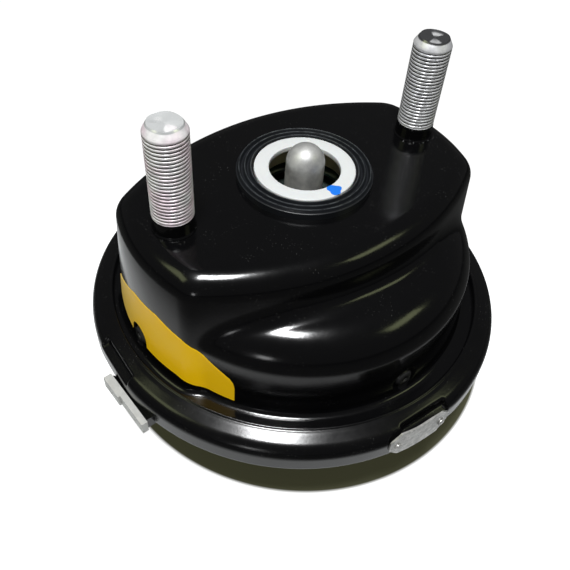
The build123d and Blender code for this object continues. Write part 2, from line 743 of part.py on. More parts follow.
# Bracket screws: two countersunk screws with hexagon sockets
with BuildPart() as bracket_screws:
    add(screw_blanks)
    for head in screw_planes:
        with BuildSketch(head):
            RegularPolygon(screw_hex_width / 2, 6, major_radius=False)
        extrude(amount=screw_hex_depth, mode=Mode.SUBTRACT)
bracket_screws.part.label = "bracket_screws"
export_step(bracket_screws.part, "parts/bracket_screws.step")
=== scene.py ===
import math

import bmesh
import bpy
import numpy as np
from mathutils import Matrix, Vector


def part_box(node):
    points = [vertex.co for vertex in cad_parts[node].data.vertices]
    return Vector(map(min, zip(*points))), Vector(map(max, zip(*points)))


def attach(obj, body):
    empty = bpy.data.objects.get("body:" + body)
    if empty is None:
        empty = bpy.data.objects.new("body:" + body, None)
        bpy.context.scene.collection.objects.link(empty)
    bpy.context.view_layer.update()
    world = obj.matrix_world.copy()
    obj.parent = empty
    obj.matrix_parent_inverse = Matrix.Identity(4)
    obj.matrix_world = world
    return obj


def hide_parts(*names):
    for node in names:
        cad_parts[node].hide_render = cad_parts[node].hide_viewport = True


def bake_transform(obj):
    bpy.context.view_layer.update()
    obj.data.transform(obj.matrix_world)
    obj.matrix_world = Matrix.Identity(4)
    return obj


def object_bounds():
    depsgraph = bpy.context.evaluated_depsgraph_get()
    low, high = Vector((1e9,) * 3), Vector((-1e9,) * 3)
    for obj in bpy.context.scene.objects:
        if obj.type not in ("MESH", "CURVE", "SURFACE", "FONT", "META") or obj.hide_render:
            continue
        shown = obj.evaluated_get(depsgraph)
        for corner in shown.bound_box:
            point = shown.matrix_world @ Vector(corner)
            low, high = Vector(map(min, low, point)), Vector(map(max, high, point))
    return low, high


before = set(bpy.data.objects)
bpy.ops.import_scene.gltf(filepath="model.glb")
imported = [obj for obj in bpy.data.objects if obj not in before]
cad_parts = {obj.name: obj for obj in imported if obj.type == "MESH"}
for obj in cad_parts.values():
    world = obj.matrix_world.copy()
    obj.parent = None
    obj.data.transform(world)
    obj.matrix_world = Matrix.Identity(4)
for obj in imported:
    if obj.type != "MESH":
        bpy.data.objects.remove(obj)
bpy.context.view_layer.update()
mm = 0.001

# Non-pressure housing
# One deep drawn steel shell, sprayed gloss black: a raised bridge with the mounting face on top, a round
# drum beside and below it, one soft valley between them, and a flange at the foot that the clamp ring
# grips.
sheet = 3 * mm
flange_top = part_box("non_pressure_housing")[0].z + sheet
flange_edge = 88.9 * mm
opening_radius = 21 * mm
bridge_half_width = 51 * mm
bridge_side_radius = 125 * mm
bridge_end_radius = 77 * mm
bridge_corner = 2.4 * mm
bridge_edge_round = 9 * mm
bridge_flare = math.tan(math.radians(3.8))
drum_radius = 77.5 * mm
drum_flare = math.tan(math.radians(1.5))
shoulder_level = -20 * mm
shoulder_round = 16 * mm
valley_round = 8.6 * mm
foot_round = 3 * mm
drain_level = flange_top + 7.5 * mm
drain_count = 4


def round_inside(one, other, radius):
    """Depth inside both shapes, with the edge where they meet rounded off."""
    corner = np.hypot(np.maximum(one + radius, 0), np.maximum(other + radius, 0))
    return np.minimum(np.maximum(one, other), -radius) + corner


def soft_inside(one, other, width):
    """Depth inside both shapes, for walls that meet at a flat angle."""
    overlap = np.maximum(width - np.abs(one - other), 0)
    return np.maximum(one, other) + overlap ** 2 / (4 * width)


def bridge_depth(place):
    """Depth below the bridge's surface: two flat round sides, two round ends and a rounded top edge."""
    x, y, z = place
    side_centre = bridge_side_radius - bridge_half_width
    reach = bridge_side_radius - z * bridge_flare
    sides = np.maximum(np.hypot(x, y - side_centre), np.hypot(x, y + side_centre)) - reach
    ends = np.hypot(x, y) - bridge_end_radius + z * bridge_flare
    return round_inside(soft_inside(sides, ends, bridge_corner), z, bridge_edge_round)


def drum_depth(place):
    """Depth below the drum's wall and domed shoulder."""
    x, y, z = place
    wall = np.hypot(x, y) - drum_radius + (z - flange_top) * drum_flare
    return round_inside(wall, z - shoulder_level, shoulder_round)


def slope_of(depth, place, step=0.05 * mm):
    """The direction in which a depth falls off fastest, at each place."""
    slope = []
    for axis in range(3):
        ahead = [part + step * (axis == number) for number, part in enumerate(place)]
        behind = [part - step * (axis == number) for number, part in enumerate(place)]
        slope.append((depth(ahead) - depth(behind)) / (2 * step))
    length = np.sqrt(slope[0] ** 2 + slope[1] ** 2 + slope[2] ** 2) + 1e-12
    return [part / length for part in slope]


def housing_depth(place):
    """Depth below the whole shell: bridge and drum joined by the valley, standing on the flange."""
    bridge, drum = bridge_depth(place), drum_depth(place)
    bridge_slope, drum_slope = slope_of(bridge_depth, place), slope_of(drum_depth, place)
    facing = sum(one * other for one, other in zip(bridge_slope, drum_slope))
    width = valley_round * (1 - facing) + 1e-6
    overlap = np.maximum(width - np.abs(bridge - drum), 0)
    body = np.minimum(bridge, drum) - overlap ** 2 / (4 * width)
    flange = place[2] - flange_top
    corner = np.hypot(np.maximum(foot_round - body, 0), np.maximum(foot_round - flange, 0))
    return np.maximum(foot_round, np.minimum(body, flange)) - corner


def fan_skin(depth, centre, first, last, turns, rows, reach):
    """A grid of points on a surface, found along rays that fan out from the centre, then spaced evenly."""
    angles = np.linspace(first, last, 2 * rows)
    along, up = np.cos(angles)[None, :], np.sin(angles)[None, :]
    cos_turn, sin_turn = np.cos(turns)[:, None], np.sin(turns)[:, None]
    near = np.zeros((len(turns), len(angles)))
    far = np.full_like(near, reach)
    for _ in range(18):
        middle = (near + far) / 2
        radius = centre[0] + middle * along
        outside = depth([radius * cos_turn, radius * sin_turn, centre[1] + middle * up]) > 0
        far = np.where(outside, middle, far)
        near = np.where(outside, near, middle)
    radius, height = centre[0] + near * along, centre[1] + near * up
    travelled = np.cumsum(np.hypot(np.diff(radius, axis=1), np.diff(height, axis=1)), axis=1)
    travelled = np.hstack([np.zeros((len(turns), 1)), travelled])
    even = np.linspace(0, 1, rows)
    radius = np.array([np.interp(even * path[-1], path, line) for path, line in zip(travelled, radius)])
    height = np.array([np.interp(even * path[-1], path, line) for path, line in zip(travelled, height)])
    place = [radius * cos_turn, radius * sin_turn, height]
    for _ in range(2):
        miss = depth(place)
        place = [part - miss * lean for part, lean in zip(place, slope_of(depth, place))]
    return np.stack(place, axis=-1)


def grid_faces(columns, rows, wrap_rows=False):
    """Four-sided faces over a grid of points that closes on itself across the columns."""
    column, row = np.meshgrid(np.arange(columns), np.arange(rows if wrap_rows else rows - 1), indexing="ij")
    column_on, row_on = (column + 1) % columns, (row + 1) % rows
    here, there = column * rows, column_on * rows
    return np.stack([here + row, there + row, there + row_on, here + row_on], axis=-1).reshape(-1, 4)


def make_piece(name, points, faces, material, sharp=40):
    """A mesh object with doubled points merged, its faces turned outwards and its creases kept sharp."""
    mesh = bpy.data.meshes.new(name)
    corners = [list(map(int, face)) for face in faces]
    mesh.from_pydata(np.asarray(points).reshape(-1, 3).tolist(), [], corners)
    shape = bmesh.new()
    shape.from_mesh(mesh)
    bmesh.ops.remove_doubles(shape, verts=shape.verts, dist=0.0005 * mm)
    bmesh.ops.dissolve_degenerate(shape, edges=shape.edges, dist=0.0005 * mm)
    bmesh.ops.recalc_face_normals(shape, faces=shape.faces)
    shape.to_mesh(mesh)
    shape.free()
    mesh.shade_smooth()
    mesh.set_sharp_from_angle(angle=math.radians(sharp))
    mesh.materials.append(material)
    piece = bpy.data.objects.new(name, mesh)
    bpy.context.scene.collection.objects.link(piece)
    return piece


def start_group(name, inputs, outputs):
    """An empty shader node group with named inputs and outputs."""
    group = bpy.data.node_groups.new(name, "ShaderNodeTree")
    for label, start in inputs.items():
        kind = "NodeSocketColor" if isinstance(start, tuple) else "NodeSocketFloat"
        group.interface.new_socket(label, in_out="INPUT", socket_type=kind).default_value = start
    for label, kind in outputs.items():
        group.interface.new_socket(label, in_out="OUTPUT", socket_type=kind)
    return group, group.nodes.new("NodeGroupInput").outputs, group.nodes.new("NodeGroupOutput").inputs


def put(tree, kind, settings=(), **options):
    """A node in a tree, with its options set and its sockets filled with values or linked."""
    node = tree.nodes.new(kind)
    for option, value in options.items():
        setattr(node, option, value)
    for label, value in dict(settings).items():
        if isinstance(value, bpy.types.NodeSocket):
            tree.links.new(value, node.inputs[label])
        else:
            node.inputs[label].default_value = value
    return node


def start_material(name, **sockets):
    """A material whose shader has these plain values."""
    material = bpy.data.materials.new(name)
    material.use_nodes = True
    tree = material.node_tree
    shader = tree.nodes["Principled BSDF"]
    for label, value in sockets.items():
        shader.inputs[label.replace("_", " ")].default_value = value
    return material, tree, shader


def place_group(tree, group, **values):
    """The outputs of a node group placed in a material, with its inputs filled."""
    node = tree.nodes.new("ShaderNodeGroup")
    node.node_tree = group
    for label, value in values.items():
        node.inputs[label.replace("_", " ")].default_value = value
    return node.outputs


def object_place(tree):
    """Where each point of a piece is, in the piece's own frame."""
    return put(tree, "ShaderNodeTexCoord").outputs["Object"]


def part_of(tree, place, axis):
    """One of a place's three numbers."""
    return put(tree, "ShaderNodeSeparateXYZ", {"Vector": place}).outputs[axis]


def noise(tree, place, scale, detail, roughness=0.5):
    """A cloudy value over the surface."""
    settings = {"Vector": place, "Scale": scale, "Detail": detail, "Roughness": roughness}
    return put(tree, "ShaderNodeTexNoise", settings).outputs["Fac"]


def spread(tree, value, low, high, start=0.0, end=1.0):
    """The stretch of a value from low to high, drawn out to run from start to end."""
    settings = {"Value": value, "From Min": low, "From Max": high, "To Min": start, "To Max": end}
    return put(tree, "ShaderNodeMapRange", settings).outputs["Result"]


def combine(tree, how, one, other):
    """Two values added, multiplied or compared."""
    return put(tree, "ShaderNodeMath", {0: one, 1: other}, operation=how).outputs["Value"]


def mix(tree, share, first, second, how="MIX"):
    """A colour between two others."""
    settings = {"Factor": share, 6: first, 7: second}
    return put(tree, "ShaderNodeMix", settings, data_type="RGBA", blend_type=how).outputs[2]


def mix_value(tree, share, first, second):
    """A plain value between two others."""
    settings = {"Factor": share, "A": first, "B": second}
    return put(tree, "ShaderNodeMix", settings, data_type="FLOAT").outputs[0]


def bumped(tree, strength, depth, height, **under):
    """The surface's normal with a height worked into it."""
    settings = {"Strength": strength, "Distance": depth, "Height": height, **under}
    return put(tree, "ShaderNodeBump", settings).outputs["Normal"]


def wire(tree, shader, **sources):
    """Each named socket of a shader linked to what feeds it."""
    for label, source in sources.items():
        tree.links.new(source, shader.inputs[label.replace("_", " ")])


# Orange peel of sprayed paint, with the long soft waves of drawn sheet under it
peel, peel_in, peel_out = start_group(
    "orange_peel",
    {"Peel Scale": 900.0, "Peel Height": 0.05, "Wave Height": 0.3},
    {"Normal": "NodeSocketVector"})
place = object_place(peel)
waved = bumped(peel, peel_in["Wave Height"], 0.3 * mm, noise(peel, place, 60.0, 1.0))
fine = noise(peel, place, peel_in["Peel Scale"], 2.0)
peeled = bumped(peel, peel_in["Peel Height"], 0.2 * mm, fine, Normal=waved)
peel.links.new(peeled, peel_out["Normal"])

# Handling marks and settled dust: a roughness that drifts over the surface, and a mask of fine pale specks
handled, handled_in, handled_out = start_group(
    "handled_surface",
    {"Smear Scale": 45.0, "Smooth": 0.15, "Rough": 0.3, "Speck Scale": 900.0, "Speck Amount": 0.1},
    {"Roughness": "NodeSocketFloat", "Specks": "NodeSocketFloat"})
place = object_place(handled)
smears = noise(handled, place, handled_in["Smear Scale"], 5.0, 0.65)
drift = spread(handled, smears, 0.3, 0.7, handled_in["Smooth"], handled_in["Rough"])
cells = put(handled, "ShaderNodeTexVoronoi", {"Vector": place, "Scale": handled_in["Speck Scale"]})
lit = spread(handled, cells.outputs["Distance"], 0.03, 0.14, 1.0, 0.0)
kept = spread(handled, noise(handled, place, 90.0, 3.0), 0.5, 0.68)
dusty = combine(handled, "MULTIPLY", lit, kept)
handled.links.new(drift, handled_out["Roughness"])
handled.links.new(combine(handled, "MULTIPLY", dusty, handled_in["Speck Amount"]), handled_out["Specks"])


def sprayed_black(name, smooth, rough, specks, wave):
    """Gloss black paint over sheet steel, with a little dust on it."""
    material, tree, shader = start_material(name, Metallic=0.0, IOR=1.5, Coat_Weight=0.0)
    marks = place_group(tree, handled, Smooth=smooth, Rough=rough, Speck_Amount=specks)
    colour = mix(tree, marks["Specks"], (0.0018, 0.0018, 0.0021, 1), (0.35, 0.35, 0.34, 1))
    skin = place_group(tree, peel, Wave_Height=wave)
    wire(tree, shader, Base_Color=colour, Roughness=marks["Roughness"], Normal=skin["Normal"])
    return material


black_paint = sprayed_black("black_paint", 0.12, 0.19, 0.35, 0.25)
turns = np.linspace(0, 2 * math.pi, 576, endpoint=False)
fan_centre = (30 * mm, flange_top - 6 * mm)
opening_angle = math.atan2(-fan_centre[1], opening_radius - fan_centre[0])
flange_angle = math.atan2(flange_top - fan_centre[1], flange_edge - fan_centre[0])
outer_skin = fan_skin(housing_depth, fan_centre, opening_angle, flange_angle, turns, 190, 120 * mm)
outer_slope = np.stack(slope_of(housing_depth, [outer_skin[..., axis] for axis in range(3)]), axis=-1)
dimple_radius = 5.6 * mm
dimple_depth = 1.4 * mm
dimple_lip = 0.6 * mm
dimple_slope = 2.2 * mm
drain_turns = [2 * math.pi * step / drain_count for step in range(drain_count)]


def wall_points(turns, heights, out=0.0):
    """Points of the housing's wall at these turns and heights, moved outwards, and the slopes there."""
    radius = 70 * mm + 0 * turns
    for _ in range(12):
        place = [radius * np.cos(turns), radius * np.sin(turns), heights]
        radius = radius - housing_depth(place)
    slope = np.stack(slope_of(housing_depth, place), axis=-1)
    return np.stack(place, axis=-1) + slope * out, slope


for drain_turn in drain_turns:
    middle, slope = wall_points(drain_turn, drain_level)
    away = np.linalg.norm(outer_skin - middle, axis=-1)
    sunk = np.clip((dimple_radius + dimple_lip - away) / dimple_slope, 0, 1)
    sunk = sunk * sunk * (3 - 2 * sunk)
    outer_skin = outer_skin - slope * (sunk * dimple_depth)[..., None]
inner_skin = outer_skin - outer_slope * sheet
skins = np.concatenate([outer_skin, inner_skin[:, ::-1]], axis=1)
housing = make_piece("housing_shell", skins, grid_faces(*skins.shape[:2], wrap_rows=True), black_paint)
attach(housing, "housing")
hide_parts("non_pressure_housing")

# Drain inserts
# Four small black plastic plugs snapped into the drain holes at the foot of the drum, each with a raised
# lip round a slotted flap that lets water out.
drain_material, tree, shader = start_material("drain_plastic", Metallic=0.0, IOR=1.48)
marks = place_group(tree, handled, Smooth=0.28, Rough=0.40, Speck_Amount=0.3, Speck_Scale=1500.0)
colour = mix(tree, marks["Specks"], (0.018, 0.018, 0.018, 1), (0.4, 0.4, 0.38, 1))
wire(tree, shader, Base_Color=colour, Roughness=marks["Roughness"])


def softened(corners, radius, steps=4):
    """The outline through these corners, each rounded; a corner's third number is its own radius."""
    outline = []
    for index, corner in enumerate(corners):
        here = Vector(corner[:2])
        back = Vector(corners[index - 1][:2]) - here
        onward = Vector(corners[(index + 1) % len(corners)][:2]) - here
        turn = math.pi - back.angle(onward)
        cut = (corner[2] if len(corner) > 2 else radius) * math.tan(turn / 2)
        cut = min(cut, 0.45 * back.length, 0.45 * onward.length)
        start, end = here + back.normalized() * cut, here + onward.normalized() * cut
        for step in range(steps + 1):
            share = step / steps
            outline.append(start * (1 - share) ** 2 + here * 2 * share * (1 - share) + end * share ** 2)
    return outline


def arc(centre, radius, first, last, steps):
    """Points of a round stretch of an outline, between two angles in degrees."""
    angles = [math.radians(first + (last - first) * step / steps) for step in range(steps + 1)]
    return [(centre[0] + radius * math.cos(turn), centre[1] + radius * math.sin(turn)) for turn in angles]


def turned(outline, columns=96):
    """Points and faces of a closed outline of (radius, height) turned about the upright axis."""
    angles = np.linspace(0, 2 * math.pi, columns, endpoint=False)[:, None]
    radius = np.array([point[0] for point in outline])[None, :]
    height = np.array([point[1] for point in outline])[None, :] + 0 * angles
    points = np.stack([radius * np.cos(angles), radius * np.sin(angles), height], axis=-1)
    return points, grid_faces(columns, len(outline), wrap_rows=True)


def gather(copies):
    """The points and faces of several meshes, put together as one."""
    all_points, all_faces, count = [], [], 0
    for copy_points, copy_faces in copies:
        all_points.append(copy_points.reshape(-1, 3))
        all_faces.append(copy_faces + count)
        count += len(all_points[-1])
    return np.concatenate(all_points), np.concatenate(all_faces)


drain_outline = softened([(0, 0.9 * mm), (1.2 * mm, 0.9 * mm), (1.6 * mm, 1.7 * mm, 0.5 * mm),
                          (3.5 * mm, 1.5 * mm, 1.6 * mm), (4.4 * mm, 0), (3.2 * mm, 0),
                          (3.2 * mm, -3.1 * mm), (0, -3.1 * mm)], 0.25 * mm)
plugs = []
for drain_turn in drain_turns:
    seat, slope = wall_points(drain_turn, drain_level, -dimple_depth)
    points, faces = turned(drain_outline, 40)
    aim = Vector((0, 0, 1)).rotation_difference(Vector(slope)).to_matrix()
    plugs.append((points.reshape(-1, 3) @ np.array(aim).T + seat, faces))
drains = make_piece("drain_plugs", *gather(plugs), drain_material)
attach(drains, "housing")
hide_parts("drain_inserts")

# Label
# A yellow vinyl sticker on the left of the wall, cut out round the drain and cut down to a round corner
# where the drum's shoulder falls away. It is bare.
# The vinyl glows faintly in its own colour: painted light that makes it brighter than the lamps alone
# would.
vinyl, tree, shader = start_material("yellow_vinyl", Metallic=0.0, IOR=1.36, Emission_Strength=0.16)
marks = place_group(tree, handled, Smooth=0.3, Rough=0.5, Speck_Amount=0.25, Speck_Scale=1100.0)
backwards = part_of(tree, object_place(tree), "Y")
yellow = mix(tree, spread(tree, backwards, -5 * mm, 40 * mm), (0.92, 0.55, 0.003, 1), (0.80, 0.62, 0.22, 1))
colour = mix(tree, marks["Specks"], yellow, (0.25, 0.2, 0.1, 1))
skin = place_group(tree, peel, Wave_Height=0.4)
wire(tree, shader, Base_Color=colour, Emission_Color=colour, Roughness=marks["Roughness"],
     Normal=skin["Normal"])
label_columns, label_rows = 300, 16
label_turns = np.radians(np.linspace(160, 216.5, label_columns + 1))
label_radius = 80 * mm
label_sheet = 0.15 * mm
cut_out = 6.2 * mm
top_edge = [(160, -45.0), (160.6, -42.0), (162, -39.5), (165, -37.4), (171, -33.6), (178, -29.4),
            (190, -27.4), (200, -30.4), (206, -35.6), (210, -39.6), (213, -42.4), (215, -44.4),
            (216, -46.4), (216.5, -49.5)]
foot_edge = [(160, -53), (182, -54.4), (198, -53.8), (206, -56.4), (216, -57.4)]


def label_edges(turns):
    """The heights of the label's lower and upper edge at these turns."""
    top, foot = [np.interp(np.degrees(turns), *np.transpose(edge)) * mm for edge in (top_edge, foot_edge)]
    beside = np.abs(turns - math.pi) * label_radius
    arch = drain_level + np.sqrt(np.maximum(cut_out ** 2 - beside ** 2, 0))
    return np.where(beside < cut_out, arch, foot), top


def sheet_faces(columns, rows):
    """Faces of a thin sheet whose front points all come before its back points, closed round its border."""
    stride, offset = rows + 1, (columns + 1) * (rows + 1)
    faces = []
    for column in range(columns):
        for row in range(rows):
            corner = column * stride + row
            faces.append((corner, corner + stride, corner + stride + 1, corner + 1))
            corner += offset
            faces.append((corner, corner + 1, corner + stride + 1, corner + stride))
    border = [column * stride for column in range(columns + 1)]
    border += [columns * stride + row for row in range(1, stride)]
    border += [column * stride + rows for column in range(columns - 1, -1, -1)]
    border += [row for row in range(rows - 1, 0, -1)]
    for here, there in zip(border, border[1:] + border[:1]):
        faces.append((here, offset + here, offset + there, there))
    return faces


label_bottom, label_top = label_edges(label_turns)
share = np.linspace(0, 1, label_rows + 1)[None, :]
label_heights = label_bottom[:, None] + (label_top - label_bottom)[:, None] * share
label_grid = label_turns[:, None] + 0 * label_heights
label_front, slope = wall_points(label_grid, label_heights, label_sheet + 0.01 * mm)
label_back = label_front - slope * label_sheet
label_points = np.concatenate([label_front.reshape(-1, 3), label_back.reshape(-1, 3)])
label = make_piece("bare_label", label_points, sheet_faces(label_columns, label_rows), vinyl, sharp=50)
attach(label, "housing")

# Mounting studs
# Two M16 studs with a fine rolled thread, zinc plated, pressed through the mounting face. The paint ran a
# few millimetres up each of them, so the plain collar at the foot is black.
stud_places = {"left": -60.325 * mm, "right": 60.325 * mm}
stud_radius = 8 * mm
thread_pitch = 1.5 * mm
thread_depth = 0.86 * mm
thread_start = 6.6 * mm
thread_end = 42.3 * mm
stud_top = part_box("mounting_stud_left")[1].z
tip_radius = 6.1 * mm
zinc_looks = {"left": ((0.96, 0.94, 0.95, 1), (0.97, 0.83, 0.90, 1), (0.62, 0.63, 0.64, 1), 0.15, 0.35),
              "right": ((0.94, 0.94, 0.96, 1), (0.82, 0.82, 0.86, 1), (0.16, 0.16, 0.17, 1), 0.5, 0.8)}


def off_axis(tree, place, x, y):
    """How far each point is from an upright axis through (x, y)."""
    shifted = put(tree, "ShaderNodeVectorMath", {0: place, 1: (-x, -y, 0)}).outputs["Vector"]
    flat = put(tree, "ShaderNodeVectorMath", {0: shifted, 1: (1, 1, 0)}, operation="MULTIPLY").outputs[0]
    return put(tree, "ShaderNodeVectorMath", {0: flat}, operation="LENGTH").outputs["Value"]


def zinc_thread(name, middle, tint, flush, face, metallic, face_metallic):
    """Bright zinc on rolled steel, with a faint flush of colour, and the thread's roots painted near black
    as painted shade.
    """
    material, tree, shader = start_material(name, Metallic=metallic)
    place = object_place(tree)
    height = part_of(tree, place, "Z")
    crest = spread(tree, off_axis(tree, place, middle, 0), stud_radius - 0.74 * mm, stud_radius - 0.28 * mm)
    tip = spread(tree, height, thread_end, thread_end + 0.8 * mm)
    end = spread(tree, height, stud_top - 0.9 * mm, stud_top - 0.5 * mm)
    shade = spread(tree, noise(tree, place, 300.0, 4.0), 0.35, 0.7, 1.0, 0.72)
    warm = spread(tree, noise(tree, place, 90.0, 2.0), 0.45, 0.62)
    plating = mix(tree, 1.0, mix(tree, warm, tint, flush), shade, "MULTIPLY")
    # Painted shade: the thread's roots are near black, and only the crests and the tip keep the zinc
    # colour.
    root_shaded_zinc = mix(tree, combine(tree, "MAXIMUM", crest, tip), (0.018, 0.016, 0.018, 1), plating)
    marks = place_group(tree, handled, Smooth=0.34, Rough=0.5, Smear_Scale=400.0)
    wire(tree, shader, Base_Color=mix(tree, end, root_shaded_zinc, face),
         Metallic=mix_value(tree, end, metallic, face_metallic),
         Roughness=mix_value(tree, end, marks["Roughness"], 0.2),
         Normal=bumped(tree, 0.25, 0.15 * mm, noise(tree, place, 700.0, 3.0)))
    return material


def thread_mesh(middle, dent_seed):
    """The threaded shank with its domed tip and hammered end face, as a grid over height and turn."""
    columns, per_pitch = 72, 14
    rows = int((thread_end - thread_start) / thread_pitch * per_pitch)
    height = np.linspace(thread_start, thread_end, rows)[None, :]
    angle = np.linspace(0, 2 * math.pi, columns, endpoint=False)[:, None]
    phase = ((height - thread_start) / thread_pitch - angle / (2 * math.pi)) % 1.0
    flank = np.clip((np.abs(phase - 0.5) - 0.07) / 0.2, 0, 1)
    lead_in = np.clip((height - thread_start) / thread_pitch, 0, 1)
    runout = lead_in * np.clip((thread_end - height) / thread_pitch, 0, 1)
    radius = stud_radius - thread_depth * (1 - flank) * runout
    height = height + 0 * angle
    tip_rise = stud_top - thread_end
    swell = np.linspace(0, 1, 9)[1:]
    rim = tip_radius + (stud_radius - tip_radius) * (1 - swell ** 1.15)
    chance = np.random.default_rng(dent_seed)

    def uneven(counts):
        """A sum of waves round the stud, each with a height by chance."""
        return sum(chance.normal() * np.cos(count * angle + chance.uniform(0, 6.28)) for count in counts)

    wobble = uneven(range(2, 7)) * 0.1 * mm
    tip_radii = rim[None, :] + wobble * swell[None, :] ** 3
    tip_heights = thread_end + tip_rise * swell[None, :] + 0 * angle
    inward = np.linspace(1, 0, 8)[None, 1:]
    face_radii = tip_radii[:, -1:] * inward
    dents = uneven(range(1, 4))
    face_drop = (1 - inward ** 4) * 0.4 * mm + np.clip(dents, -1, 1) * inward * (1 - inward ** 3) * 1.1 * mm
    face_heights = stud_top - np.clip(face_drop, 0, 1.2 * mm)
    foot_radii = np.array([[0.0, stud_radius * 0.98]]) + 0 * angle
    foot_heights = np.array([[thread_start - 0.4 * mm, thread_start - 0.4 * mm]]) + 0 * angle
    radius = np.hstack([foot_radii, radius, tip_radii, face_radii])
    height = np.hstack([foot_heights, height, tip_heights, face_heights])
    points = np.stack([middle + radius * np.cos(angle), radius * np.sin(angle), height], axis=-1)
    return points, grid_faces(columns, radius.shape[1])


collar_outline = softened([(0, -7.5 * mm), (11.4 * mm, -7.5 * mm), (11.4 * mm, -3.02 * mm),
                           (8 * mm, -3.02 * mm), (8.1 * mm, 0.1 * mm), (8.75 * mm, 0.12 * mm),
                           (8.2 * mm, 1.0 * mm), (8.15 * mm, 5.6 * mm), (7.9 * mm, 6.9 * mm),
                           (0, 6.9 * mm)], 0.3 * mm)
dent_seeds = {"left": 5, "right": 12}
for side_name, middle in stud_places.items():
    side = math.copysign(1, middle)
    zinc = zinc_thread("zinc_thread_" + side_name, middle, *zinc_looks[side_name])
    points, faces = thread_mesh(middle, dent_seeds[side_name])
    thread = make_piece("stud_thread_" + side_name, points, faces, zinc, sharp=32)
    points, faces = turned(collar_outline, 72)
    flat_side = np.where(points[..., 2] < -3 * mm, 6.8 * mm, 1.0)
    points[..., 0] = np.where(side * points[..., 0] > flat_side, side * flat_side, points[..., 0]) + middle
    collar = make_piece("stud_collar_" + side_name, points, faces, black_paint)
    for part, slot_name in ((thread, "zinc"), (collar, "black_paint")):
        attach(part, "housing")
        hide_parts("mounting_stud_" + side_name)

# Paint nibs
# Small drops and runs of paint that stayed beside the studs' feet when the housing was sprayed.
nibs_per_stud = 9
nib_copies = []
chance = np.random.default_rng(7)
for side_name, middle in stud_places.items():
    for _ in range(nibs_per_stud):
        turn = chance.uniform(math.pi, 1.75 * math.pi)
        radius = stud_radius + chance.uniform(0.5, 2.2) * mm
        size = chance.uniform(0.25, 0.6) * mm
        points, faces = turned(softened([(0, 0.8 * size), (size, 0), (0, -0.4 * size)], 0.6 * size), 12)
        nib_copies.append((points + (middle + radius * math.cos(turn), radius * math.sin(turn), 0), faces))
nibs = make_piece("paint_nibs", *gather(nib_copies), black_paint)
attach(nibs, "housing")

# Mounting seal
# A moulded rubber ring round the opening, with concentric ridges that the caliper's face presses flat. It
# is dark blue-black, and its ridge tops are painted paler, partly as talc and partly as a painted
# highlight.
rubber, tree, shader = start_material("seal_rubber", Metallic=0.0, IOR=1.5)
marks = place_group(tree, handled, Smooth=0.30, Rough=0.48, Speck_Amount=0.8, Speck_Scale=1300.0)
place = object_place(tree)
height = part_of(tree, place, "Z")
seal_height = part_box("mounting_seal")[1].z
# The ridge tops turn paler in patches: partly talc, partly a painted highlight of the lamp along the
# ridges.
ridge_top = spread(tree, height, seal_height - 0.35 * mm, seal_height)
patchy = spread(tree, noise(tree, place, 330.0, 6.0, 0.7), 0.35, 0.65)
talc_and_painted_highlight = combine(tree, "MULTIPLY", ridge_top, patchy)
seal_colour_with_highlight = mix(tree, talc_and_painted_highlight, (0.006, 0.007, 0.009, 1), (0.11, 0.12, 0.13, 1))
wire(tree, shader, Base_Color=mix(tree, marks["Specks"], seal_colour_with_highlight, (0.3, 0.3, 0.3, 1)),
     Roughness=marks["Roughness"],
     Normal=bumped(tree, 0.2, 0.15 * mm, noise(tree, place, 1500.0, 2.0)))
seal_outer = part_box("mounting_seal")[1].x
seal_base = 2.6 * mm
ridge_count = 3
ridge_pitch = (seal_outer - opening_radius) / ridge_count
seal_top = []
for step in range(12 * ridge_count + 1):
    share = step / 12
    ridge = (0.5 - 0.5 * math.cos(2 * math.pi * share)) ** 2.2
    seal_top.append((seal_outer - share * ridge_pitch, seal_base + (seal_height - seal_base) * ridge))
seal_outline = [(opening_radius + 0.02 * mm, 0.02 * mm), (seal_outer, 0.02 * mm)] + seal_top[:-1]
seal_outline += [(opening_radius + 0.02 * mm, seal_base)]
seal = make_piece("ridged_seal", *turned(seal_outline, 160), rubber, sharp=60)
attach(seal, "housing")
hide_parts("mounting_seal")

# Guide ring
# Moulded white plastic: its flange sits in the seal's bore, and its collar goes down through the opening.
# Its colour turns darker and browner towards its foot. A finger of blue paint marks it as checked.
white, tree, shader = start_material("white_plastic", Metallic=0.0, IOR=1.49, Subsurface_Weight=0.05)
marks = place_group(tree, handled, Smooth=0.34, Rough=0.5, Speck_Amount=0.25, Speck_Scale=1200.0)
height = part_of(tree, object_place(tree), "Z")
darker_browner_below = mix(tree, spread(tree, height, 2.4 * mm, 0.8 * mm), (0.60, 0.60, 0.60, 1), (0.36, 0.31, 0.21, 1))
colour = mix(tree, marks["Specks"], darker_browner_below, (0.25, 0.24, 0.22, 1))
wire(tree, shader, Base_Color=colour, Roughness=marks["Roughness"])
guide_low, guide_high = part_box("guide_ring")
guide_bore = 14.8 * mm
guide_collar_bore = 17.6 * mm
guide_collar_radius = guide_high.x - 0.35 * mm
guide_flange_under = guide_high.z - 2.5 * mm
guide_outline = softened([(guide_bore, guide_high.z), (guide_high.x, guide_high.z),
                          (guide_high.x, guide_flange_under), (guide_collar_radius, guide_flange_under),
                          (guide_collar_radius, guide_low.z), (guide_collar_bore, guide_low.z),
                          (guide_collar_bore, guide_flange_under),
                          (guide_bore, guide_flange_under)], 0.5 * mm)
guide = make_piece("guide_collar", *turned(guide_outline, 144), white)
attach(guide, "housing")
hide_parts("guide_ring")

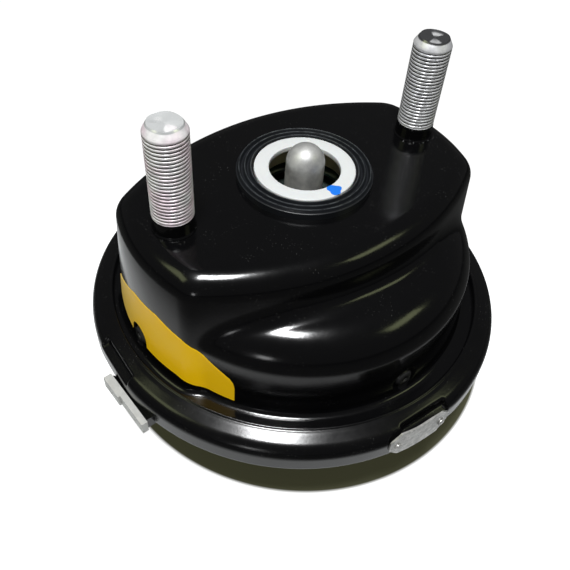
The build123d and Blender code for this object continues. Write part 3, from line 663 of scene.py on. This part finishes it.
blue, tree, shader = start_material("marking_paint", Metallic=0.0, IOR=1.5)
marks = place_group(tree, handled, Smooth=0.2, Rough=0.4, Speck_Amount=0.0)
cloud = put(tree, "ShaderNodeTexNoise", {"Scale": 600.0, "Detail": 3.0}).outputs["Fac"]
wire(tree, shader, Base_Color=mix(tree, cloud, (0.003, 0.12, 0.60, 1), (0.02, 0.19, 0.72, 1)),
     Roughness=marks["Roughness"])
dab_place = (1.6 * mm, -17.9 * mm)
dab_size = (2.9 * mm, 3.1 * mm)
dab_turn = math.radians(-20)
dab_steps, dab_rings = 40, 6
dab_points = []
for step in range(dab_steps):
    angle = 2 * math.pi * step / dab_steps
    edge = 1 + 0.12 * math.sin(3 * angle + 0.5) + 0.07 * math.sin(5 * angle)
    for ring in range(dab_rings + 1):
        share = edge * ring / dab_rings
        along, across = dab_size[0] * share * math.cos(angle), dab_size[1] * share * math.sin(angle)
        crown = 0.14 * mm * (1 - (ring / dab_rings) ** 3) - 0.01 * mm
        dab_points.append((dab_place[0] + along * math.cos(dab_turn) - across * math.sin(dab_turn),
                           dab_place[1] + along * math.sin(dab_turn) + across * math.cos(dab_turn),
                           guide_high.z + crown))
dab = make_piece("paint_dab", dab_points, grid_faces(dab_steps, dab_rings + 1), blue)
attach(dab, "housing")

# Gaiter
# A pleated rubber sleeve that keeps water out of the chamber: its flange is clamped under the housing's
# sheet, and its neck grips the socket on the piston. In the real chamber it folds up as the piston rises;
# here it is drawn in one shape.
gaiter_low, gaiter_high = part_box("gaiter")
gaiter_outer = 26.8 * mm
gaiter_inner = 19.4 * mm
gaiter_skin = 1.5 * mm
fold_count = 9
neck_radius = 15.3 * mm
neck_top = gaiter_low.z + 5 * mm
fold_top = gaiter_high.z - 5 * mm
gaiter_flange_radius = 27 * mm
gaiter_flange_under = gaiter_high.z - 2 * mm
fold_depth = gaiter_outer - gaiter_skin - gaiter_inner
gaiter_line = [(opening_radius, gaiter_high.z), (opening_radius, fold_top)]
for step in range(1, 12 * fold_count):
    share = step / (12 * fold_count)
    sway = math.cos(2 * math.pi * fold_count * share)
    fold = 0.5 + 0.5 * math.copysign(abs(sway) ** 0.75, sway)
    gaiter_line.append((gaiter_inner + fold_depth * fold, fold_top + (neck_top - fold_top) * share))
gaiter_line += [(neck_radius, neck_top), (neck_radius, gaiter_low.z)]
gaiter_outside = [(radius + gaiter_skin, height) for radius, height in gaiter_line[::-1]]
gaiter_outside[-1:] = [(opening_radius + gaiter_skin, gaiter_flange_under),
                       (gaiter_flange_radius, gaiter_flange_under), (gaiter_flange_radius, gaiter_high.z)]
gaiter_rubber, tree, shader = start_material("gaiter_rubber", Metallic=0.0, IOR=1.5)
marks = place_group(tree, handled, Smooth=0.3, Rough=0.5, Speck_Amount=0.15)
cloud = noise(tree, object_place(tree), 200.0, 4.0)
wire(tree, shader, Base_Color=mix(tree, cloud, (0.005, 0.012, 0.010, 1), (0.012, 0.035, 0.028, 1)),
     Roughness=marks["Roughness"])
gaiter = make_piece("pleated_gaiter", *turned(gaiter_line + gaiter_outside, 96), gaiter_rubber, sharp=75)
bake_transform(gaiter)
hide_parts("gaiter")

# Return spring and its seat
# A conical coil of oil-tempered wire pushes the piston back. Its small end sits under a pressed ring that
# also clamps the gaiter's flange, and its wide end stands on the piston plate.
inner_steel, tree, shader = start_material("inner_steel", Metallic=1.0)
marks = place_group(tree, handled, Smooth=0.3, Rough=0.5, Smear_Scale=160.0)
cloud = noise(tree, object_place(tree), 220.0, 5.0)
wire(tree, shader, Base_Color=mix(tree, cloud, (0.20, 0.19, 0.18, 1), (0.50, 0.49, 0.48, 1)),
     Roughness=marks["Roughness"])
spring_low, spring_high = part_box("return_spring")
wire_radius = 1.8 * mm
spring_turns = 5.5
spring_wide = 50 * mm
spring_small = 38 * mm
spring_steps, wire_steps = 330, 14
spring_points = []
for step in range(spring_steps + 1):
    share = step / spring_steps
    angle = 2 * math.pi * spring_turns * share
    middle = spring_wide + (spring_small - spring_wide) * share
    level = spring_low.z + wire_radius + (spring_high.z - spring_low.z - 2 * wire_radius) * share
    for spoke in range(wire_steps):
        spin = 2 * math.pi * spoke / wire_steps
        radius, height = middle + wire_radius * math.cos(spin), level + wire_radius * math.sin(spin)
        spring_points.append((radius * math.cos(angle), radius * math.sin(angle), height))
spring_faces = []
for step in range(spring_steps):
    for spoke in range(wire_steps):
        near, far = step * wire_steps, (step + 1) * wire_steps
        spoke_on = (spoke + 1) % wire_steps
        spring_faces.append((near + spoke, near + spoke_on, far + spoke_on, far + spoke))
last_round = spring_steps * wire_steps
spring_faces += [tuple(range(wire_steps)), tuple(range(last_round, last_round + wire_steps))]
spring = make_piece("coil_spring", spring_points, spring_faces, inner_steel)
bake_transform(spring)
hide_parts("return_spring")

seat_low, seat_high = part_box("spring_seat")
seat_bore, seat_radius = 22.9 * mm, 44 * mm
seat_sheet = 2 * mm
seat_outline = softened([(seat_bore, seat_high.z), (seat_radius, seat_high.z, 2.5 * mm),
                         (seat_radius, seat_low.z), (seat_radius - seat_sheet, seat_low.z),
                         (seat_radius - seat_sheet, seat_high.z - seat_sheet, 0.6 * mm),
                         (seat_bore, seat_high.z - seat_sheet)], 0.4 * mm)
spring_seat = make_piece("spring_cup", *turned(seat_outline), inner_steel)
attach(spring_seat, "housing")
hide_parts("spring_seat")

# Piston plate, socket, bush and retaining ring
# The piston plate is a pressed disc with an upturned rim. The socket on it is a turned cup, the bush in
# the cup is white plastic, and a sprung ring in the cup's groove holds the ball of the rod down.


def dress(node_name, material):
    """A new material for a piece that is shown as it was drawn."""
    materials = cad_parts[node_name].data.materials
    materials.clear()
    materials.append(material)


for node_name in ("piston_plate", "rod_socket", "rod_retainer"):
    dress(node_name, inner_steel)
dress("socket_bush", white)

# Push rod
# A plain turned steel rod, tumbled to a soft grey satin, with a round nose and a ball foot that leans in
# its socket.
rod_steel, tree, shader = start_material("rod_steel", Metallic=0.6)
marks = place_group(tree, handled, Smooth=0.46, Rough=0.58, Smear_Scale=120.0)
place = object_place(tree)
mottled = spread(tree, noise(tree, place, 130.0, 6.0, 0.65), 0.35, 0.65)
wire(tree, shader, Base_Color=mix(tree, mottled, (0.38, 0.38, 0.38, 1), (0.62, 0.62, 0.60, 1)),
     Roughness=marks["Roughness"],
     Normal=bumped(tree, 0.2, 0.1 * mm, noise(tree, place, 1800.0, 3.0)))
rod_low, rod_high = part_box("push_rod")
rod_radius = 8 * mm
ball_radius = 10.2 * mm
ball_height = rod_low.z + ball_radius
neck_angle = math.degrees(math.acos(rod_radius / ball_radius))
rod_outline = arc((0, ball_height), ball_radius, -90, neck_angle, 24)
rod_outline += arc((0, rod_high.z - rod_radius), rod_radius, 0, 90, 20)
rod = make_piece("nosed_rod", *turned(rod_outline, 96), rod_steel, sharp=50)
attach(rod, "push_rod")
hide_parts("push_rod")

# Diaphragm
# A cup of fabric-reinforced rubber. Its thick bead is clamped between the two flanges, and its middle lies
# under the piston plate and pushes it up when air comes in.
diaphragm_low, diaphragm_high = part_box("diaphragm")
bead = 4 * mm
bead_under = diaphragm_high.z - bead
cup_radius = 75.7 * mm
cup_slope = math.tan(math.radians(5))
cup_floor_radius = cup_radius - (bead_under - diaphragm_low.z) * cup_slope
cup_sheet = 3 * mm
diaphragm_outline = softened([(0, diaphragm_low.z, 0), (cup_floor_radius, diaphragm_low.z, 12 * mm),
                              (cup_radius, bead_under), (diaphragm_high.x, bead_under),
                              (diaphragm_high.x, diaphragm_high.z),
                              (cup_radius - cup_sheet, diaphragm_high.z),
                              (cup_floor_radius - cup_sheet, diaphragm_low.z + cup_sheet, 9 * mm),
                              (0, diaphragm_low.z + cup_sheet, 0)], 0.8 * mm, steps=8)
diaphragm = make_piece("rubber_diaphragm", *turned(diaphragm_outline), rubber)
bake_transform(diaphragm)
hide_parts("diaphragm")

# Pressure housing
# A pressed dish with a flange, sprayed the same black. It stands on a round foot, and its raised middle
# holds the two air ports.
dish_low, dish_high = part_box("pressure_housing")
dish_radius = 79 * mm
dish_slope = math.tan(math.radians(5))
foot_outer = dish_radius - (dish_high.z - dish_low.z) * dish_slope
foot_inner = 47 * mm
recess = dish_low.z + 9 * mm
middle_edge = foot_inner - 4 * mm
dish_outline = softened([(0, recess, 0), (middle_edge, recess, 3 * mm), (foot_inner, dish_low.z, 3 * mm),
                         (foot_outer, dish_low.z, 14 * mm), (dish_radius, dish_high.z - sheet, 1.5 * mm),
                         (flange_edge, dish_high.z - sheet, 0.6 * mm), (flange_edge, dish_high.z, 0.6 * mm),
                         (dish_radius - sheet, dish_high.z, 2 * mm),
                         (foot_outer - sheet, dish_low.z + sheet, 11 * mm),
                         (foot_inner + sheet, dish_low.z + sheet, 2 * mm),
                         (middle_edge + sheet, recess + sheet, 3 * mm),
                         (0, recess + sheet, 0)], 1 * mm, steps=8)
dish = make_piece("lower_dish", *turned(dish_outline, 192), black_paint)
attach(dish, "housing")
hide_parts("pressure_housing")

# Air ports and plug
# Two turned bosses are welded into the dish, each with a fine thread inside. One is closed by a zinc plated
# plug with a hexagon socket.
bright_zinc, tree, shader = start_material("bright_zinc", Metallic=0.35)
marks = place_group(tree, handled, Smooth=0.3, Rough=0.46, Smear_Scale=200.0)
cloud = noise(tree, object_place(tree), 260.0, 6.0, 0.7)
wire(tree, shader, Base_Color=mix(tree, cloud, (0.42, 0.42, 0.405, 1), (0.74, 0.74, 0.71, 1)),
     Roughness=marks["Roughness"],
     Normal=bumped(tree, 0.3, 0.12 * mm, cloud))
port_offset = 25 * mm
port_mouth, port_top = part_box("port_bosses")[0].z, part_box("port_bosses")[1].z
port_root = 7.95 * mm
port_crest = 7.19 * mm
boss_copies = []
for middle in (-port_offset, port_offset):
    outline = [(10 * mm, port_top), (10 * mm, recess), (13 * mm, recess), (13 * mm, port_mouth + 1 * mm),
               (12 * mm, port_mouth), (port_root + 0.3 * mm, port_mouth),
               (port_crest, port_mouth + 0.8 * mm)]
    for turn in range(int((port_top - port_mouth - 1.5 * mm) / thread_pitch)):
        level = port_mouth + 0.8 * mm + turn * thread_pitch
        outline += [(port_crest, level + 0.2 * mm), (port_root, level + 0.65 * mm),
                    (port_root, level + 0.85 * mm), (port_crest, level + 1.3 * mm)]
    points, faces = turned(outline + [(port_crest, port_top)], 72)
    boss_copies.append((points + (middle, 0, 0), faces))
bosses = make_piece("port_collars", *gather(boss_copies), black_paint, sharp=30)
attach(bosses, "housing")
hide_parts("port_bosses")
dress("port_plug", bright_zinc)

# Clamp ring
# A channel rolled over both flanges from thick sheet, sprayed black. Its wide shoulder runs up to a crisp
# lip, and it is pressed in at four notches that stop it from turning.
clamp_low, clamp_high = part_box("clamp_ring")
clamp_radius = 95 * mm
clamp_sheet = 2.5 * mm
lip_radius = 84.5 * mm
lower_lip_radius = 85.5 * mm
shoulder = {"outer": 4.2 * mm, "inner": 6.0 * mm}
slope_start = 86 * mm
slope_angle = math.radians(22)
bead_place = (lip_radius + 0.8 * mm, clamp_high.z - 0.35 * mm)
bead_radius = 0.65 * mm
bottom_round = {"outer": 1.2 * mm, "inner": 0.5 * mm}
notch_wall = {"outer": 90.4 * mm, "inner": 89.3 * mm}
notch_floor = {"outer": clamp_high.z - 5.8 * mm, "inner": clamp_high.z - 5.8 * mm - clamp_sheet}
notch_half = {"outer": 12 * mm, "inner": 14.5 * mm}
notch_face = {"outer": 94.2 * mm, "inner": 91.7 * mm}
notch_blend = {"outer": 1.1 * mm, "inner": 0.3 * mm}
notch_slope = 0.4


def ring_depth(skin):
    """The depth below one of the channel's two skins, outer or inner."""
    inset = 0 if skin == "outer" else clamp_sheet

    def depth(place):
        x, y, z = place
        radius = np.hypot(x, y)
        wall = radius - clamp_radius + inset
        if skin == "outer":
            level = (z - clamp_high.z) * math.cos(slope_angle)
            crown = (radius - slope_start) * math.sin(slope_angle) + level
            body = round_inside(soft_inside(z - clamp_high.z, crown, 0.8 * mm), wall, shoulder[skin])
        else:
            body = round_inside(wall, z - clamp_high.z + inset, shoulder[skin])
        body = round_inside(body, clamp_low.z + inset - z, bottom_round[skin])
        outward = np.maximum(np.abs(x), np.abs(y))
        across = np.minimum(np.abs(x), np.abs(y))
        rise = notch_floor[skin] - (outward - notch_wall[skin]) * notch_slope - z
        outside_notch = round_inside(across - notch_half[skin], notch_wall[skin] - outward, 0.8 * mm)
        outside_notch = round_inside(outside_notch, rise, 0.8 * mm)
        body = soft_inside(body, -outside_notch, notch_blend[skin])
        body = soft_inside(body, outward - notch_face[skin], notch_blend[skin])
        if skin == "inner":
            return body
        bead = np.hypot(radius - bead_place[0], z - bead_place[1]) - bead_radius
        return np.minimum(round_inside(body, lip_radius - radius, 0.6 * mm), bead)

    return depth


notch_fan = np.concatenate([np.arange(-9.6, 9.6, 0.16), np.arange(9.6, 80.4, 0.72)])
ring_turns = np.radians(np.concatenate([notch_fan + 90 * quarter for quarter in range(4)]))
ring_centre = (87 * mm, clamp_low.z + 5.5 * mm)
lip_under, lower_lip_top = clamp_high.z - clamp_sheet, clamp_low.z + clamp_sheet
first = math.atan2(lip_under - ring_centre[1], lip_radius - ring_centre[0])
last = math.atan2(lower_lip_top - ring_centre[1], lower_lip_radius - ring_centre[0])
outer_ring = fan_skin(ring_depth("outer"), ring_centre, first, last, ring_turns, 96, 20 * mm)
inner_ring = fan_skin(ring_depth("inner"), ring_centre, first, last, ring_turns, 40, 20 * mm)
ring_skins = np.concatenate([outer_ring, inner_ring[:, ::-1]], axis=1)
ring_paint = sprayed_black("ring_paint", 0.16, 0.25, 0.5, 0.35)
ring_faces = grid_faces(*ring_skins.shape[:2], wrap_rows=True)
ring = make_piece("clamp_channel", ring_skins, ring_faces, ring_paint, sharp=50)
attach(ring, "housing")
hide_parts("clamp_ring")

# Type plate and rivets
# A thin bright aluminium plate with cut corners, curved round the rim over the front notch and held by two
# small rivets. It is blank.
plate_metal, tree, shader = start_material("plate_metal", Metallic=0.6)
marks = place_group(tree, handled, Smooth=0.24, Rough=0.46, Smear_Scale=260.0, Speck_Amount=0.6)
cloud = noise(tree, object_place(tree), 420.0, 8.0, 0.75)
worn = spread(tree, cloud, 0.38, 0.62)
wire(tree, shader, Base_Color=mix(tree, worn, (0.34, 0.34, 0.33, 1), (0.64, 0.63, 0.61, 1)),
     Roughness=marks["Roughness"],
     Normal=bumped(tree, 0.4, 0.15 * mm, cloud))
plate_low, plate_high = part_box("type_plate")
plate_middle = (plate_low.x + plate_high.x) / 2
plate_half = (plate_high.x - plate_low.x) / 2
plate_cut = 4.5 * mm
plate_sheet = 0.8 * mm
plate_back = clamp_radius + 0.1 * mm
plate_columns, plate_rows = 60, 24
front, back = [], []
for column in range(plate_columns + 1):
    along = -plate_half + 2 * plate_half * column / plate_columns
    trim = max(0.0, abs(along) - plate_half + plate_cut)
    top, bottom = plate_high.z - trim, plate_low.z + trim
    angle = -math.pi / 2 + (plate_middle + along) / clamp_radius
    for row in range(plate_rows + 1):
        level = bottom + (top - bottom) * row / plate_rows
        ripple = 0.12 * mm * math.sin(along * 420) * math.sin(level * 350)
        for skin, radius in ((front, plate_back + plate_sheet + ripple), (back, plate_back + ripple)):
            skin.append((radius * math.cos(angle), radius * math.sin(angle), level))
plate_faces = sheet_faces(plate_columns, plate_rows)
plate = make_piece("blank_plate", front + back, plate_faces, plate_metal, sharp=45)
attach(plate, "housing")
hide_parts("type_plate")
dress("plate_rivets", plate_metal)

# Bracket
# A small zinc plated bar on a black lug at the left of the rim, held by two countersunk screws.
dress("bracket_lug", black_paint)
dress("bracket_bar", bright_zinc)
dress("bracket_screws", bright_zinc)

# Floor
# A small sheet of white paper on a dark table. The camera sees white all round, except under the ring,
# where a painted olive shadow is drawn as a disc into the paper's colour and glow; the lamps' own shadow
# shows only inside that disc. The gloss paint shows the sheet near by and the dark table further out.
paper, tree, shader = start_material("white_paper", Roughness=0.9, Specular_IOR_Level=0.0)
paths = put(tree, "ShaderNodeLightPath").outputs
place = object_place(tree)
sheet_middle, sheet_edge, table_edge = (-14 * mm, 6 * mm), 120 * mm, 162 * mm
painted_shadow_middle, painted_shadow_inside, painted_shadow_outside = (9 * mm, 5 * mm), 96.2 * mm, 97.8 * mm
away = off_axis(tree, place, *sheet_middle)
table = spread(tree, away, sheet_edge, table_edge)
# Painted shadow: inside this disc the paper's colour and glow are a dark olive, fixed in place whatever the
# lamps do.
clear = spread(tree, off_axis(tree, place, *painted_shadow_middle), painted_shadow_inside, painted_shadow_outside)
sheet_colour = mix(tree, table, (0.40, 0.41, 0.42, 1), (0.05, 0.05, 0.05, 1))
mirrored = combine(tree, "MAXIMUM", paths["Is Glossy Ray"], paths["Is Transmission Ray"])
sheet_glow = 0.38
near_sheet = spread(tree, away, sheet_edge, table_edge, sheet_glow, 0.0)
mirrored_sheet = combine(tree, "MULTIPLY", mirrored, near_sheet)
wire(tree, shader, Base_Color=mix(tree, clear, (0.075, 0.075, 0.048, 1), sheet_colour),
     Emission_Color=mix(tree, clear, (0.030, 0.030, 0.017, 1), (1, 1, 1, 1)),
     Emission_Strength=combine(tree, "ADD", paths["Is Camera Ray"], mirrored_sheet))
floor_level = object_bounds()[0].z
floor_radius = 3.0
floor_under = floor_level - 2 * mm
floor_outline = [(0, floor_level), (floor_radius, floor_level),
                 (floor_radius, floor_under), (0, floor_under)]
floor = make_piece("paper_floor", *turned(floor_outline, 64), paper)

# Lamps and room
# One soft lamp almost overhead, a small one low in front, two olive walls that catch a little of its
# light, and a dark room.
scene = bpy.context.scene
scene.view_settings.view_transform = "Standard"


def soft_lamp(name, place, aim, size, power, tint):
    """A flat soft lamp that looks at a point."""
    lamp = bpy.data.lights.new(name, "AREA")
    lamp.shape = "RECTANGLE"
    lamp.size, lamp.size_y = size
    lamp.energy = power
    lamp.color = tint
    stand = bpy.data.objects.new(name, lamp)
    scene.collection.objects.link(stand)
    stand.location = place
    stand.rotation_euler = (Vector(aim) - Vector(place)).to_track_quat("-Z", "Y").to_euler()
    return stand


soft_lamp("key_lamp", (-0.185, -0.179, 0.92), (0, 0, -0.04), (0.235, 0.235), 13.0, (0.98, 0.99, 1.0))
soft_lamp("front_lamp", (-0.76, -0.62, 0.08), (0, 0, -0.02), (0.12, 0.12), 0.27, (0.98, 0.99, 1.0))
soft_lamp("left_wall", (-0.56, 0.16, 0.50), (0, 0, -0.05), (0.34, 0.22), 0.45, (0.92, 1.0, 0.55))
soft_lamp("right_wall", (0.40, -0.48, 0.48), (0, 0, -0.05), (0.30, 0.14), 0.30, (0.92, 1.0, 0.55))
world = bpy.data.worlds.new("room")
scene.world = world
world.use_nodes = True
tree = world.node_tree
sky = tree.nodes["Background"]
sky.inputs["Color"].default_value = (1, 1, 1, 1)
paths = put(tree, "ShaderNodeLightPath").outputs
mirrored = combine(tree, "MAXIMUM", paths["Is Glossy Ray"], paths["Is Transmission Ray"])
room_light, mirrored_room, white_surround = 0.055, 0.07, 1.0
room = mix_value(tree, mirrored, room_light, mirrored_room)
wire(tree, sky, Strength=mix_value(tree, paths["Is Camera Ray"], room, white_surround))

# Camera
# A compact camera held a little left of the front and tilted slightly, looking down at the chamber.
camera_place = Vector((-138.82, -171.06, 169.92)) * mm
camera_yaw, camera_pitch, camera_roll = (math.radians(angle) for angle in (37.946, 47.189, 4.587))
sensor_width = 36.0
focal_share = 664.2 / 570
level_ahead = Vector((math.sin(camera_yaw), math.cos(camera_yaw), 0))
level_right = Vector((math.cos(camera_yaw), -math.sin(camera_yaw), 0))
ahead = level_ahead * math.cos(camera_pitch) - Vector((0, 0, math.sin(camera_pitch)))
level_up = level_right.cross(ahead)
right = level_right * math.cos(camera_roll) + level_up * math.sin(camera_roll)
up = level_up * math.cos(camera_roll) - level_right * math.sin(camera_roll)
lens = bpy.data.cameras.new("camera")
lens.sensor_width = sensor_width
lens.lens = sensor_width * focal_share
lens.clip_start = 0.01
camera = bpy.data.objects.new("camera", lens)
scene.collection.objects.link(camera)
camera.matrix_world = Matrix.Translation(camera_place) @ Matrix((right, up, -ahead)).transposed().to_4x4()
scene.camera = camera
